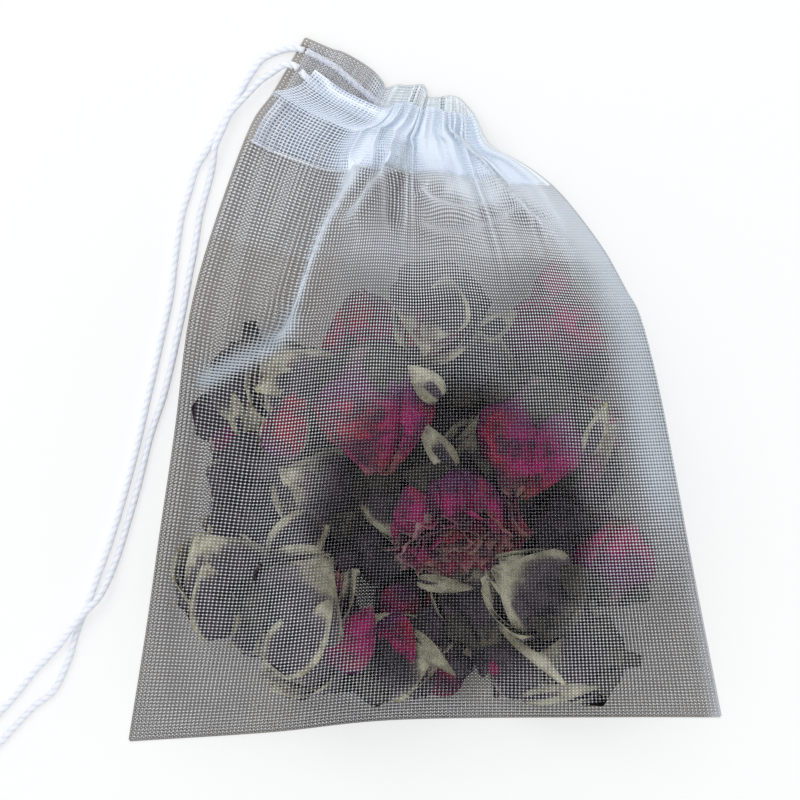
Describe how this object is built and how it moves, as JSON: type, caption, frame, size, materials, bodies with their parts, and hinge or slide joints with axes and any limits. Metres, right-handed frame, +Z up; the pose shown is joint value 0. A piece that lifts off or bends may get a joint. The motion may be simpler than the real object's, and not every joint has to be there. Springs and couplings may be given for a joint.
{
  "type": "nylon mesh tea bag",
  "caption": "Flat drawstring bag of open nylon mesh lying on its back, gathered shut over dried rosebuds, with its white cotton string laid out to a knot.",
  "frame": {"origin": "centre of the lying bag's outline, on the plane its back rests on, the free drawstring left out", "axes": "+Y towards the bag's mouth, +Z up out of the plane, +X to the right with the mouth ahead and the back below"},
  "size_m": [0.1313, 0.1263, 0.0324],
  "materials": {
    "nylon_mesh": "satin",
    "cotton_cord": "matte",
    "petal_dark": "matte",
    "petal_red": "matte"
  },
  "bodies": {
    "root": {"mesh_bag": "nylon_mesh", "drawstring_in_casing": "cotton_cord", "drawstring_upper_strand": "cotton_cord", "drawstring_lower_strand": "cotton_cord", "drawstring_knot": "cotton_cord", "rosebud_01": "petal_dark", "rosebud_02": "petal_red", "rosebud_03": "petal_dark", "rosebud_04": "petal_red", "rosebud_05": "petal_dark", "rosebud_06": "petal_dark", "rosebud_07": "petal_dark", "rosebud_08": "petal_dark", "rosebud_09": "petal_dark", "rosebud_10": "petal_red", "rosebud_11": "petal_red", "rosebud_12": "petal_dark", "rosebud_13": "petal_dark", "rosebud_14": "petal_dark", "rosebud_15": "petal_dark", "rosebud_16": "petal_red", "rosebud_17": "petal_red", "rosebud_18": "petal_red", "rosebud_19": "petal_red", "rosebud_20": "petal_red", "rosebud_21": "petal_dark"}
  },
  "joints": []
}
